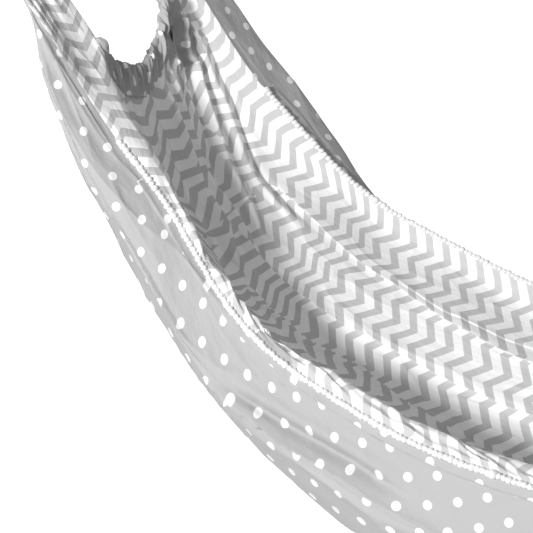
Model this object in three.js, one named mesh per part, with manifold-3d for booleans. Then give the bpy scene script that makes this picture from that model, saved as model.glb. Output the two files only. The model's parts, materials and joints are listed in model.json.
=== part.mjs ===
// Hanging baby cradle: a boat-shaped double-layer cotton sling that hangs by four
// gathered fabric legs from two beech spreader bars. Each bar hangs by one eye bolt
// from one steel carabiner, so the whole sling swings sideways between two hooks.
//
// Millimetres. +X runs from the head end (-X) to the foot end (+X), +Y is the far
// side, +Z is up. The origin is midway between the two hooks that the cradle hangs
// on, at the height where they pass through the tops of the carabiners.
import * as THREE from 'three';
import { mergeVertices } from 'three/addons/utils/BufferGeometryUtils.js';
import Module from 'manifold-3d';

const wasm = await Module();
wasm.setup();

// ---------------------------------------------------------------- dimensions
const U = 25.4;                     // one zigzag repeat of the lining, the unit of the sling's tables
const CLOTH = 1.6;                  // thickness allowed for each cloth layer
const PLY_GAP = 0.2;                // half the gap between the two layers
const SEAM = 0.0015;                // half the gap between two panels, in v
const V_CREASE = 0.745;             // where a side panel meets the bottom panel, -1..1 round the section
const S_PANEL = 20;                 // the bottom panel ends here (in U along the rim from the middle)
const S_LEG = 30.9;                 // the legs start here
const S_EDGE = 28.8;                // lowest point of the scooped end edge
const CASING_H = 1.12;              // height of the elastic casing, in U
const BAR_R = 16;                   // beech spreader bar, 32 mm
const BAR_HALF = 150;               // half its length between the knobs
const SPIGOT_R = 8;
const SPIGOT_L = 13;
const KNOB_R = 22;
const KNOB_L = 24;
const FLAT = 14;                    // distance of the two milled flats from the bar's axis
const BOLT_R = 4;                   // M8 eye bolt
const EYE_R = 14;                   // eye ring, centre line
const EYE_WIRE = 4;
const EYE_Z = 34;                   // eye centre above the bar's axis
const WIRE = 4.5;                   // carabiner wire radius
const CARAB_R = 14;                 // carabiner end radius, centre line
const CARAB_L = 60;                 // carabiner length, centre line
const GATE_R = 4;
const PIN_R = 1.1;
const SLEEVE_IN = 80;               // sleeve span along the bar
const SLEEVE_OUT = 143;
const SLEEVE_T = 2.5;
const LEG_DEG = 54.5;               // slope of the legs above the horizontal
const S_BAR = 39.5;                 // the bar crosses the rim line here
const BAR_DEPTH = 14;               // and lies this far under it
const Z0 = 0;                       // rim height at the middle, before the last move

// rim line: x, half width and height every 2 U along the rim from the middle
const RIM_X = [0, 50.4, 101.1, 151.6, 201.2, 250.1, 298.6, 345.7, 389.4, 428.9, 463.8, 498.2, 534.3, 570.1, 602.5, 633.2, 663.3, 692.9, 722.4, 751.9, 781.4, 810.9];
const RIM_W = [198.9, 199.2, 199.2, 198.7, 197.3, 195.3, 192.1, 185.7, 177.1, 167.2, 157.7, 149.3, 144.7, 145.7, 146.6, 146.6, 146.6, 146.6, 146.6, 146.6, 146.6, 146.6];
const RIM_Z = [0, 0.5, 3.0, 8.8, 19.6, 33.0, 47.7, 65.5, 89.8, 120.2, 155.8, 192.2, 227.6, 263.6, 302.7, 343.1, 384.1, 425.4, 466.8, 508.1, 549.5, 590.8];
// outer layer: depth of the side channels and of the middle line below the rim, in U
const LOBE = [[0, 8.0], [6, 7.8], [12, 6.5], [18, 4.5], [24, 3.4], [28, 2.5], [30.9, 1.8], [34, 0.8], [42, 0.6]];
const MIDL = [[0, 8.0], [6, 7.8], [12, 6.4], [16, 4.9], [18, 4.15], [20, 3.5], [23.2, 2.6], [26, 1.85], [28.8, 1.25], [30.9, 0.6], [42, 0.6]];
const HUMP_IN = [[0, 0], [18, 0], [24, 0.25], [28.8, 0.4], [30.9, 0.52], [42, 0.52]];
const HUMP_OUT = [[0, 0.75], [18, 0.75], [24, 0.8], [28.8, 0.85], [30.9, 0.9], [42, 0.9]];
// the lining is a shallower sling inside it: the same two depths
const LOBE_L = [[0, 3.65], [6, 3.55], [12, 3.3], [18, 2.95], [24, 2.3], [28.8, 1.6], [30.9, 1.2], [34, 0.5], [42, 0.3]];
const MIDL_L = [[0, 3.65], [6, 3.55], [12, 3.3], [17, 2.95], [20, 2.65], [23.2, 2.1], [26, 1.6], [28.8, 1.15], [30.9, 0.5], [42, 0.3]];
// section of the outer layer over t = 0 at the rim to 1 at the middle: inward run, outward bulge
// (at the middle of the length and, flaring straight out, towards the ends), its size in U, and depth
const SEC_IN = [[0, 0], [0.18, 0], [0.255, 0.002], [0.32, 0.013], [0.43, 0.053], [0.54, 0.12], [0.7, 0.307], [0.86, 0.667], [1, 1]];
const SEC_OUT = [[0, 0], [0.09, 0.32], [0.18, 0.68], [0.255, 1], [0.32, 1.02], [0.43, 0.83], [0.54, 0.5], [0.7, 0.15], [0.86, 0], [1, 0]];
const SEC_FLARE = [[0, 0], [0.05, 0.3], [0.1, 0.56], [0.18, 0.86], [0.255, 1], [0.32, 0.97], [0.43, 0.78], [0.54, 0.5], [0.7, 0.15], [0.86, 0], [1, 0]];
const BULGE = [[0, 1.9], [12, 1.6], [18, 1.8], [24, 2.1], [28, 1.65], [30.9, 1.0], [34, 0.3], [42, 0]];
const SEC_DOWN = [[0, 0], [0.09, 0.135], [0.18, 0.27], [0.255, 0.392], [0.32, 0.486], [0.43, 0.676], [0.54, 0.838], [0.7, 0.946], [0.86, 0.986], [1, 1]];
// section of the lining over the same t
const LIN_IN = [[0, 0], [0.06, 0.012], [0.12, 0.045], [0.255, 0.15], [0.5, 0.4], [0.75, 0.7], [1, 1]];
const LIN_DOWN = [[0, 0], [0.06, 0.17], [0.12, 0.28], [0.255, 0.37], [0.5, 0.54], [0.75, 0.8], [1, 1]];
// stations shared by every panel, so that neighbours meet on the same lines
const STATIONS = [0, 2.5, 5, 7.5, 10, 12.5, 15, 17.5, 20, 22.18, 24.36, 26.54, 28.72, 30.9];

// ---------------------------------------------------------------- helpers
const lerp = (a, b, k) => a + (b - a) * k;
const smooth = (a, b, x) => { const k = Math.min(1, Math.max(0, (x - a) / (b - a))); return k * k * (3 - 2 * k); };
function evenTable(tab, s) {        // smooth table with a step of 2
  const q = Math.min(tab.length - 1.001, Math.max(0, s / 2));
  const i = Math.floor(q), f = q - i;
  const p = (k) => (k < 0 ? (tab === RIM_X ? -tab[-k] : tab[-k]) : tab[Math.min(k, tab.length - 1)]);
  const a = p(i - 1), b = p(i), c = p(i + 1), d = p(i + 2);
  return b + 0.5 * f * (c - a + f * (2 * a - 5 * b + 4 * c - d + f * (3 * (b - c) + d - a)));
}
function knots(tab, s) {            // piecewise smooth table of [s, value]
  let i = 0;
  while (i < tab.length - 2 && s > tab[i + 1][0]) i++;
  const n = tab.length, g = (k) => tab[Math.min(n - 1, Math.max(0, k))];
  const [x0, y0] = g(i), [x1, y1] = g(i + 1);
  const m0 = (g(i + 1)[1] - g(i - 1)[1]) / (g(i + 1)[0] - g(i - 1)[0]);
  const m1 = (g(i + 2)[1] - g(i)[1]) / (g(i + 2)[0] - g(i)[0]);
  const h = x1 - x0, k = Math.min(1, Math.max(0, (s - x0) / h));
  return (2 * k ** 3 - 3 * k * k + 1) * y0 + (k ** 3 - 2 * k * k + k) * h * m0 + (3 * k * k - 2 * k ** 3) * y1 + (k ** 3 - k * k) * h * m1;
}
function rim(s) {                   // point, half width and slope of the rim at |s|
  const a = Math.abs(s), e = 0.25;
  const dx = evenTable(RIM_X, a + e) - evenTable(RIM_X, Math.max(0, a - e));
  const dz = evenTable(RIM_Z, a + e) - evenTable(RIM_Z, Math.max(0, a - e));
  return { x: evenTable(RIM_X, a), w: evenTable(RIM_W, a), z: evenTable(RIM_Z, a), th: a < 0.3 ? 0 : Math.atan2(dz, dx) };
}
const humpAt = (s, yn) => 1 - smooth(knots(HUMP_IN, s), knots(HUMP_OUT, s), yn);
const slope = (r, d, y) => new THREE.Vector3(-(r.x + Math.sin(r.th) * d), y, r.z - Math.cos(r.th) * d);
// middle surface of the outer layer: s along, v round (-1 near rim, 1 far rim)
function outerBase(s, v) {
  const a = Math.abs(s), r = rim(a), t = 1 - Math.abs(v), lobe = knots(LOBE, a);
  const yn = 1 - knots(SEC_IN, t);
  const d = U * Math.max(0, lobe * knots(SEC_DOWN, t) - (lobe - knots(MIDL, a)) * humpAt(a, yn));
  const q = lerp(knots(SEC_OUT, t), knots(SEC_FLARE, t), smooth(11, 24, a));
  const p = slope(r, d, Math.sign(v) * (yn * r.w + U * knots(BULGE, a) * q));
  if (s >= 0) p.x = -p.x;
  return p;
}
function liningBase(s, v) {         // middle surface of the lining, never below the outer layer
  const a = Math.abs(s), r = rim(a), t = 1 - Math.abs(v), lobe = knots(LOBE_L, a);
  const yn = 1 - knots(LIN_IN, t);
  const d = U * Math.max(0, lobe * knots(LIN_DOWN, t) - (lobe - knots(MIDL_L, a)) * humpAt(a, yn));
  const p = slope(r, d, Math.sign(v) * yn * r.w);
  if (s >= 0) p.x = -p.x;
  return p;
}
function tOf(table, yn) {           // the t at which the run in from the rim leaves yn
  let lo = 0, hi = 1;
  for (let i = 0; i < 40; i++) { const m = (lo + hi) / 2; if (1 - knots(table, m) > yn) lo = m; else hi = m; }
  return (lo + hi) / 2;
}
// A point of the leg: w runs from the inner edge (0) to the rim (1)
function legBase(s, w) {
  const v = lerp(1 - tOf(SEC_IN, 0.52), 1, w), a = Math.min(s, 32.5), r = rim(s);
  const o = outerBase(-a, v), k = smooth(31, 36.5, s), ra = rim(a);
  const d0 = Math.hypot(-o.x - ra.x, ra.z - o.z), d = lerp(d0, BAR_DEPTH, k);
  const y = lerp(lerp(0.52, 1, w) * r.w, lerp(SLEEVE_IN + 1, SLEEVE_OUT - 1, w), k);
  return new THREE.Vector3(-(r.x + Math.sin(r.th) * d), y, r.z - Math.cos(r.th) * d);
}
// A cloth panel: a box whose grid is laid on a surface, from t0 to t1 along its outward normal
function normalAt(fn, u, v) {
  const e = 0.004;
  const du = fn(Math.min(1, u + e), v).sub(fn(Math.max(0, u - e), v));
  const dv = fn(u, Math.min(1, v + e)).sub(fn(u, Math.max(0, v - e)));
  return du.cross(dv).normalize();
}
function sheet(nu, nv, fn, t0, t1, outward) {
  let facing = 0;                                         // one side is outward for the whole panel
  for (let i = 1; i < 10; i++) for (let j = 1; j < 10; j++) facing += normalAt(fn, i / 10, j / 10).dot(outward(fn(i / 10, j / 10)).normalize());
  const sign = facing < 0 ? -1 : 1;
  const geo = new THREE.BoxGeometry(1, 1, 1, nu, nv, 1);
  const pos = geo.attributes.position;
  const idx = geo.index.array, back = geo.groups[5];      // split both faces along the same diagonals
  for (let i = back.start; i < back.start + back.count; i += 6) {
    const a = idx[i], b = idx[i + 1], d = idx[i + 2], c = idx[i + 4];
    idx.set([a, b, c, a, c, d], i);
  }
  for (let i = 0; i < pos.count; i++) {
    const u = pos.getX(i) + 0.5, v = pos.getY(i) + 0.5, t = pos.getZ(i) > 0 ? t1 : t0;
    const p = fn(u, v);
    p.addScaledVector(normalAt(fn, u, v), sign * (typeof t === 'function' ? t(u, v) : t));
    pos.setXYZ(i, p.x, p.y, p.z);
  }
  return closed(geo);
}
function closed(geo) {              // keep only positions, merge them, and face outwards
  for (const name of Object.keys(geo.attributes)) if (name !== 'position') geo.deleteAttribute(name);
  const g = mergeVertices(geo, 1e-4), idx = g.index.array, p = g.attributes.position.array;
  let vol = 0;
  const keep = [];
  for (let i = 0; i < idx.length; i += 3) {
    const a = idx[i], b = idx[i + 1], c = idx[i + 2];
    if (a === b || b === c || a === c) continue;
    keep.push(a, b, c);
    vol += p[3 * a] * (p[3 * b + 1] * p[3 * c + 2] - p[3 * b + 2] * p[3 * c + 1])
      - p[3 * a + 1] * (p[3 * b] * p[3 * c + 2] - p[3 * b + 2] * p[3 * c])
      + p[3 * a + 2] * (p[3 * b] * p[3 * c + 1] - p[3 * b + 1] * p[3 * c]);
  }
  if (vol < 0) for (let i = 0; i < keep.length; i += 3) { const k = keep[i]; keep[i] = keep[i + 1]; keep[i + 1] = k; }
  g.setIndex(keep);
  return g;
}
function solid(geo, matrix) {
  const g = closed(geo.clone());
  if (matrix) g.applyMatrix4(matrix);
  return new wasm.Manifold(new wasm.Mesh({ numProp: 3, vertProperties: new Float32Array(g.attributes.position.array), triVerts: new Uint32Array(g.index.array) }));
}
function fromSolid(m) {
  const mesh = m.getMesh(), g = new THREE.BufferGeometry();
  const n = mesh.vertProperties.length / mesh.numProp, pos = new Float32Array(n * 3);
  for (let i = 0; i < n; i++) for (let k = 0; k < 3; k++) pos[3 * i + k] = mesh.vertProperties[i * mesh.numProp + k];
  g.setAttribute('position', new THREE.BufferAttribute(pos, 3));
  g.setIndex(Array.from(mesh.triVerts));
  return closed(g);
}
const at = (x, y, z, rx = 0, ry = 0, rz = 0) => new THREE.Matrix4().compose(new THREE.Vector3(x, y, z), new THREE.Quaternion().setFromEuler(new THREE.Euler(rx, ry, rz)), new THREE.Vector3(1, 1, 1));
const rod = (r, len, seg = 20) => new THREE.CylinderGeometry(r, r, len, seg);   // along Y

// ---------------------------------------------------------------- materials
const mat = (color, roughness, metalness = 0) => new THREE.MeshStandardMaterial({ color, roughness, metalness });
const dotted = mat(0xcfcfd0, 0.92);
const zigzag = mat(0xd6d6d8, 0.92);
const white = mat(0xf6f6f4, 0.95);
const beech = mat(0xd9b98a, 0.5);
const steel = mat(0xb9bcc0, 0.28, 1);
const zinc = mat(0xa9adb2, 0.4, 1);
const elasticMat = mat(0xf2f1ee, 0.85);

const cradle = new THREE.Group();
cradle.name = 'hanging_baby_cradle';
function add(name, geo, material, parent = cradle) {
  const m = new THREE.Mesh(geo, material);
  m.name = name;
  parent.add(m);
  return m;
}
const lift = (geo) => { geo.translate(0, 0, Z0); return geo; };

// ---------------------------------------------------------------- sling panels
const sOf = (u) => {                // u 0..1 over all stations, head to foot
  const all = STATIONS.slice().reverse().map((s) => -s).concat(STATIONS.slice(1));
  const q = u * (all.length - 1), i = Math.min(all.length - 2, Math.floor(q + 1e-9));
  return lerp(all[i], all[i + 1], q - i);
};
const bottomS = (u) => {
  const all = STATIONS.slice(0, 9).reverse().map((s) => -s).concat(STATIONS.slice(1, 9));
  const q = u * (all.length - 1), i = Math.min(all.length - 2, Math.floor(q + 1e-9));
  const s = lerp(all[i], all[i + 1], q - i);
  return Math.max(-S_PANEL + 0.03, Math.min(S_PANEL - 0.03, s));
};
const outwardFrom = (p) => {        // away from a line that runs along the middle of the bed
  const x = Math.max(-330, Math.min(330, p.x));
  return new THREE.Vector3(p.x - x, p.y, p.z - 150);
};
const NS = 2 * (STATIONS.length - 1), NB = 16;
const layers = { outer: [PLY_GAP, PLY_GAP + CLOTH], lining: [-PLY_GAP, -PLY_GAP - CLOTH] };
const edgeS = (yn) => (yn < 0.5 ? S_EDGE + 2.1 * (yn / 0.52) ** 2 - CASING_H - 0.62 : S_LEG);
const endPanel = (base, table, sign) => (u, v) => {
  const vv = lerp(-V_CREASE + SEAM, V_CREASE - SEAM, v);
  const yn = 1 - knots(table, 1 - Math.abs(vv));
  return base(sign * lerp(S_PANEL + 0.03, edgeS(yn), u), vv);
};
for (const [layer, base, table, [t0, t1], m, hem] of [['outer', outerBase, SEC_IN, layers.outer, dotted, 0.01], ['lining', liningBase, LIN_IN, layers.lining, zigzag, 0.008]]) {
  const names = layer === 'outer'
    ? ['outer_side_panel_near', 'outer_side_panel_far', 'outer_bottom_panel', 'outer_head_panel', 'outer_foot_panel']
    : ['lining_side_near', 'lining_side_far', 'lining_floor', 'lining_head_panel', 'lining_foot_panel'];
  for (const side of [-1, 1]) {     // the near side is the mirror image of the far one
    const fn = (u, v) => { const p = base(sOf(u), lerp(V_CREASE + SEAM, 1 - hem, v)); p.y *= side; return p; };
    add(names[side < 0 ? 0 : 1], lift(sheet(NS, 5, fn, t0, t1, outwardFrom)), m);
  }
  add(names[2], lift(sheet(NB, 12, (u, v) => base(bottomS(u), lerp(-V_CREASE + SEAM, V_CREASE - SEAM, v)), t0, t1, outwardFrom)), m);
  add(names[3], lift(sheet(5, 12, endPanel(base, table, -1), t0, t1, outwardFrom)), m);
  add(names[4], lift(sheet(5, 12, endPanel(base, table, 1), t0, t1, outwardFrom)), m);
}

// ---------------------------------------------------------------- elastic casings at the two scooped ends
const casingPoint = (sign, low, high) => (u, v) => {
  const yn = lerp(-0.4, 0.4, u), a = Math.abs(yn);
  const top = S_EDGE + 2.1 * (a / 0.52) ** 2;
  const s = lerp(top - CASING_H + low, top - high, v);
  return outerBase(sign * s, Math.sign(yn) * (1 - tOf(SEC_IN, a)));
};
for (const [name, sign] of [['head', -1], ['foot', 1]]) {
  const skin = solid(sheet(14, 2, casingPoint(sign, 0.03, 0), -4.2, 4.2, outwardFrom));
  const tunnel = solid(sheet(14, 2, (u, v) => casingPoint(sign, 0.16, 0.12)(u * 1.06 - 0.03, v), -2.1, 2.1, outwardFrom));
  add(`elastic_casing_${name}`, lift(fromSolid(skin.subtract(tunnel))), dotted);
  add(`elastic_band_${name}`, lift(sheet(14, 1, casingPoint(sign, 0.3, 0.26), -1.1, 1.1, outwardFrom)), elasticMat);
}

// ---------------------------------------------------------------- bobble trim along the two rims
const trimS = (u) => sOf((2 + u * (NS - 4)) / NS);   // all but the last two stations at each end
for (const [name, side] of [['near', -1], ['far', 1]]) {
  const run = (u, v) => {
    const s = trimS(u), r = rim(s);
    const y = side * (r.w + lerp(-1.4, 4.0, v)), d = -4.2;
    const x = -(r.x + Math.sin(r.th) * d);
    return new THREE.Vector3(s < 0 ? x : -x, y, r.z - Math.cos(r.th) * d);
  };
  add(`bobble_trim_${name}`, lift(sheet(NS - 4, 1, run, -2.6, 2.6, (p) => new THREE.Vector3(0, 0, 1))), white);
}

// ---------------------------------------------------------------- four gathered legs
const legEnd = S_BAR - (BAR_R + 0.7 + SLEEVE_T + 0.5) / U;
for (const [name, sx, sy] of [['head_near', 1, -1], ['head_far', 1, 1], ['foot_near', -1, -1], ['foot_far', -1, 1]]) {
  const fn = (u, v) => {
    const p = legBase(lerp(S_LEG + 0.04, legEnd, u), v);
    return new THREE.Vector3(p.x * sx, p.y * sy, p.z);
  };
  add(`leg_${name}`, lift(sheet(9, 7, fn, (u) => -2.4 - 1.6 * u, (u) => 2.4 + 1.6 * u, (p) => new THREE.Vector3(p.x, 0, -300))), dotted);
}

// ---------------------------------------------------------------- spreader bars and what hangs them
const barRim = rim(S_BAR);
const legT = LEG_DEG * Math.PI / 180;
const barX = -(barRim.x + Math.sin(legT) * BAR_DEPTH), barZ = Z0 + barRim.z - Math.cos(legT) * BAR_DEPTH;
const tilt = -(Math.PI / 2 - legT);

// local frame of each end: z runs up along the pull of the legs, y along the bar
function hangEnd(tag, group, turned = false) {
  // beech bar with a spigot at each end, two flats and the bolt hole
  const profile = [[0, -BAR_HALF - SPIGOT_L], [SPIGOT_R, -BAR_HALF - SPIGOT_L], [SPIGOT_R, -BAR_HALF], [BAR_R - 1, -BAR_HALF], [BAR_R, -BAR_HALF + 1],
    [BAR_R, BAR_HALF - 1], [BAR_R - 1, BAR_HALF], [SPIGOT_R, BAR_HALF], [SPIGOT_R, BAR_HALF + SPIGOT_L], [0, BAR_HALF + SPIGOT_L]]
    .map(([r, y]) => new THREE.Vector2(r, y));
  let bar = solid(new THREE.LatheGeometry(profile, 20));
  bar = bar.subtract(solid(new THREE.BoxGeometry(60, 24, 20), at(0, 0, FLAT + 10)));
  bar = bar.subtract(solid(new THREE.BoxGeometry(60, 24, 20), at(0, 0, -FLAT - 10)));
  bar = bar.subtract(solid(rod(BOLT_R + 0.45, 60, 14), at(0, 0, 0, Math.PI / 2)));
  add(`spreader_bar_${tag}`, fromSolid(bar), beech, group);

  for (const [side, sy] of turned ? [['near', 1], ['far', -1]] : [['near', -1], ['far', 1]]) {
    // turned end knob, bored to take the bar's spigot
    const y0 = BAR_HALF + 0.3, y1 = BAR_HALF + KNOB_L;
    const knob = [[SPIGOT_R + 0.4, y0], [BAR_R - 0.5, y0], [KNOB_R - 2, y0 + 4], [KNOB_R, y0 + 9], [KNOB_R - 1.5, y0 + 15], [KNOB_R - 6, y1 - 3], [KNOB_R - 13, y1], [0, y1], [0, BAR_HALF + SPIGOT_L + 0.5], [SPIGOT_R + 0.4, BAR_HALF + SPIGOT_L + 0.5], [SPIGOT_R + 0.4, y0]]
      .map(([r, y]) => new THREE.Vector2(r, y));
    add(`end_knob_${tag}_${side}`, closed(new THREE.LatheGeometry(knob, 18).applyMatrix4(at(0, 0, 0, sy > 0 ? 0 : Math.PI))), beech, group);

    // fabric tunnel sewn at the top of a leg, round the bar
    const a = SLEEVE_IN, b = SLEEVE_OUT, r0 = BAR_R + 0.7, r1 = r0 + SLEEVE_T;
    const tube = [[r0, a], [r1 - 0.8, a], [r1, a + 1.5], [r1, b - 1.5], [r1 - 0.8, b], [r0, b], [r0, a]].map(([r, y]) => new THREE.Vector2(r, y));
    add(`bar_sleeve_${tag}_${side}`, closed(new THREE.LatheGeometry(tube, 18).applyMatrix4(at(0, 0, 0, sy > 0 ? 0 : Math.PI))), dotted, group);
  }

  // eye bolt: ring, collar and shank
  let eye = solid(new THREE.TorusGeometry(EYE_R, EYE_WIRE, 9, 20), at(0, 0, EYE_Z, 0, Math.PI / 2));
  eye = eye.add(solid(rod(7, 3.2, 14), at(0, 0, FLAT + 0.3 + 1.6, Math.PI / 2)));
  const shankTop = EYE_Z - EYE_R, shankLow = -FLAT - 12.5;
  eye = eye.add(solid(rod(BOLT_R, shankTop - shankLow, 14), at(0, 0, (shankTop + shankLow) / 2, Math.PI / 2)));
  add(`eye_bolt_${tag}`, fromSolid(eye), zinc, group);
  const washer = solid(rod(9, 1.6, 18), at(0, 0, -FLAT - 0.3 - 0.8, Math.PI / 2)).subtract(solid(rod(BOLT_R + 0.4, 10, 14), at(0, 0, -FLAT - 1, Math.PI / 2)));
  add(`washer_${tag}`, fromSolid(washer), zinc, group);
  const nut = solid(rod(7.5, 6.5, 6), at(0, 0, -FLAT - 2.2 - 3.25, Math.PI / 2)).subtract(solid(rod(BOLT_R + 0.4, 20, 14), at(0, 0, -FLAT - 5, Math.PI / 2)));
  add(`lock_nut_${tag}`, fromSolid(nut), zinc, group);

  // carabiner, hung from its top: lies in the local x-z plane, its lower end through the eye
  const cz = EYE_Z + EYE_R - EYE_WIRE - 0.4 - WIRE;
  const pts = [];
  const A0 = -11 * Math.PI / 180;
  for (let i = 0; i <= 12; i++) { const a = A0 - (Math.PI + A0) * i / 12; pts.push(new THREE.Vector3(CARAB_R * Math.cos(a), 0, cz + CARAB_R + CARAB_R * Math.sin(a))); }
  for (let i = 1; i <= 3; i++) pts.push(new THREE.Vector3(-CARAB_R, 0, cz + CARAB_R + (CARAB_L - 2 * CARAB_R) * i / 4));
  for (let i = 0; i <= 12; i++) { const a = Math.PI - Math.PI * i / 12; pts.push(new THREE.Vector3(CARAB_R * Math.cos(a), 0, cz + CARAB_L - CARAB_R + CARAB_R * Math.sin(a))); }
  pts.push(new THREE.Vector3(CARAB_R, 0, cz + 45.2));
  const ring = new THREE.Shape();
  for (let i = 0; i < 9; i++) ring[i ? 'lineTo' : 'moveTo'](WIRE * Math.cos(i * Math.PI * 2 / 9), WIRE * Math.sin(i * Math.PI * 2 / 9));
  ring.closePath();
  let body = solid(new THREE.ExtrudeGeometry(ring, { steps: 34, curveSegments: 4, bevelEnabled: false, extrudePath: new THREE.CatmullRomCurve3(pts, false, 'centripetal') }));
  const hx = CARAB_R, hz = cz + 17.5;                    // gate hinge
  let tab = solid(rod(3.2, 4, 14), at(hx, 0, hz)).add(solid(new THREE.BoxGeometry(6, 4, 9), at(hx - 0.4, 0, hz - 4.6)));
  body = body.add(tab).subtract(solid(rod(PIN_R + 0.35, 20, 10), at(hx, 0, hz)));
  add(`carabiner_body_${tag}`, fromSolid(body), steel, group);

  const g0 = hz - 3, g1 = cz + 44.5;
  let gate = solid(rod(GATE_R, g1 - g0, 14), at(hx, 0, (g0 + g1) / 2, Math.PI / 2));
  gate = gate.subtract(solid(new THREE.BoxGeometry(12, 4.8, 7.6), at(hx, 0, hz)));
  gate = gate.subtract(solid(rod(PIN_R + 0.35, 20, 10), at(hx, 0, hz)));
  gate = gate.subtract(solid(rod(2.1, 14, 10), at(hx, 0, hz + 3.8 + 6, Math.PI / 2)));
  add(`carabiner_gate_${tag}`, fromSolid(gate), steel, group);
  add(`gate_pin_${tag}`, closed(rod(PIN_R, 7.4, 10).applyMatrix4(at(hx, 0, hz))), zinc, group);
  // return spring in the gate's bore
  const coil = [];
  for (let i = 0; i <= 30; i++) { const a = i / 30 * 3.5 * 2 * Math.PI; coil.push(new THREE.Vector3(hx + 1.2 * Math.cos(a), 1.2 * Math.sin(a), hz + 4.6 + 11 * i / 30)); }
  const dot = new THREE.Shape();
  dot.moveTo(0.4, 0);
  for (const a of [90, 180, 270]) dot.lineTo(0.4 * Math.cos(a * Math.PI / 180), 0.4 * Math.sin(a * Math.PI / 180));
  dot.closePath();
  add(`gate_spring_${tag}`, closed(new THREE.ExtrudeGeometry(dot, { steps: 34, bevelEnabled: false, extrudePath: new THREE.CatmullRomCurve3(coil) })), zinc, group);
}
const headEnd = new THREE.Group();
headEnd.name = 'head_end_hardware';
headEnd.position.set(barX, 0, barZ);
headEnd.rotation.set(0, tilt, 0);
cradle.add(headEnd);
hangEnd('head', headEnd);
const footTurn = new THREE.Group();
footTurn.name = 'foot_end_hardware';
footTurn.rotation.set(0, 0, Math.PI);
const footEnd = new THREE.Group();
footEnd.position.set(barX, 0, barZ);
footEnd.rotation.set(0, tilt, 0);
footTurn.add(footEnd);
cradle.add(footTurn);
hangEnd('foot', footEnd, true);

// put the line between the two hooks at height 0
const hookUp = EYE_Z + EYE_R - EYE_WIRE - 0.4 - 2 * WIRE + CARAB_L - 5;
cradle.position.z = -(barZ + Math.cos(tilt) * hookUp);

export default cradle;
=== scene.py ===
import math
import bpy
import numpy as np
from mathutils import Matrix, Vector
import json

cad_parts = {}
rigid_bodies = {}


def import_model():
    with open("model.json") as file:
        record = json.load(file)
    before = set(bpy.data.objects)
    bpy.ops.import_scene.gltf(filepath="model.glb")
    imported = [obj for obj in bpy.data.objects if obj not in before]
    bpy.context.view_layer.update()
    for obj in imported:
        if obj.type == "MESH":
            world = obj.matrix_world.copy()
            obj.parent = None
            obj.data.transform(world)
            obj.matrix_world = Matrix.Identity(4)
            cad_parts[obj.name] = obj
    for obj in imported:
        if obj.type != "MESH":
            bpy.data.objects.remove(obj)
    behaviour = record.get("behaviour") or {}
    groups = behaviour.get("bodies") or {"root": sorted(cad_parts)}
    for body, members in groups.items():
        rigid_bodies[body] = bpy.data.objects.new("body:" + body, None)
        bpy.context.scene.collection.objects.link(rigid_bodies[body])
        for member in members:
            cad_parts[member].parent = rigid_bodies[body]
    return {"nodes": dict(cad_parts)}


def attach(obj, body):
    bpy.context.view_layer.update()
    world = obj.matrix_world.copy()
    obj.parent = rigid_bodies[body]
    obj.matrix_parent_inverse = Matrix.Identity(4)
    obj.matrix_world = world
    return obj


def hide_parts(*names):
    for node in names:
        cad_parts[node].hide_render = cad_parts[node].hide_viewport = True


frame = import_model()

# Everything is in metres in the row frame. The cloth surfaces are worked out in
# millimetres with U = 25.4 (one zigzag repeat) and moved by Z0 at the end.
U = 25.4
Z0 = -603.97
S_LEG = 30.9
S_EDGE = 28.8
BAR_S = 39.5
BAR_DEPTH = 14.0

# ------------------------------------------------------------------ camera
def make_camera():
    az, el = math.radians(30), math.radians(30)
    f = Vector((-math.sin(az) * math.cos(el), math.cos(az) * math.cos(el), -math.sin(el)))
    target = Vector((-0.4498, 0.0, -0.5499))
    r = Vector((math.cos(az), math.sin(az), 0.0))
    u = r.cross(f)
    cam = bpy.data.objects.new("camera", bpy.data.cameras.new("camera"))
    cam.matrix_world = Matrix.Translation(target - f * 2.2326) @ Matrix((r, u, -f)).transposed().to_4x4()
    cam.data.lens = 115.97
    cam.data.sensor_width = 36
    cam.data.clip_start = 0.05
    cam.data.dof.use_dof = False
    bpy.context.scene.collection.objects.link(cam)
    bpy.context.scene.camera = cam
make_camera()
bpy.context.scene.view_settings.view_transform = "Standard"

# ------------------------------------------------------------------ numbers
RIM_X = [0, 50.4, 101.1, 151.6, 201.2, 250.1, 298.6, 345.7, 389.4, 428.9, 463.8, 498.2, 534.3, 570.1, 602.5, 633.2, 663.3, 692.9, 722.4, 751.9, 781.4, 810.9]
RIM_W = [198.9, 199.2, 199.2, 198.7, 197.3, 195.3, 192.1, 185.7, 177.1, 167.2, 157.7, 149.3, 144.7, 145.7, 146.6, 146.6, 146.6, 146.6, 146.6, 146.6, 146.6, 146.6]
RIM_Z = [0, 0.5, 3.0, 8.8, 19.6, 33.0, 47.7, 65.5, 89.8, 120.2, 155.8, 192.2, 227.6, 263.6, 302.7, 343.1, 384.1, 425.4, 466.8, 508.1, 549.5, 590.8]
LOBE = [[0, 8.0], [6, 7.8], [12, 6.5], [18, 4.5], [24, 3.4], [28, 2.5], [30.9, 1.8], [34, 0.8], [42, 0.6]]
MIDL = [[0, 8.0], [6, 7.8], [12, 6.4], [16, 4.9], [18, 4.3], [20, 3.85], [23.2, 3.3], [25, 2.95], [26.5, 2.5], [27.6, 2.0], [28.8, 1.3], [30.9, 0.6], [42, 0.6]]
LOBE_L = [[0, 3.65], [6, 3.55], [12, 3.3], [18, 2.95], [24, 2.3], [28.8, 1.5], [30.9, 1.1], [34, 0.5], [42, 0.3]]
MIDL_L = [[0, 3.65], [6, 3.55], [12, 3.3], [17, 3.05], [20, 2.98], [23.2, 2.8], [25, 2.52], [26.5, 2.16], [27.6, 1.74], [28.8, 1.12], [30.9, 0.45], [42, 0.3]]
HUMP_IN = [[0, 0], [18, 0], [24, 0.25], [28.8, 0.4], [30.9, 0.52], [42, 0.52]]
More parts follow.
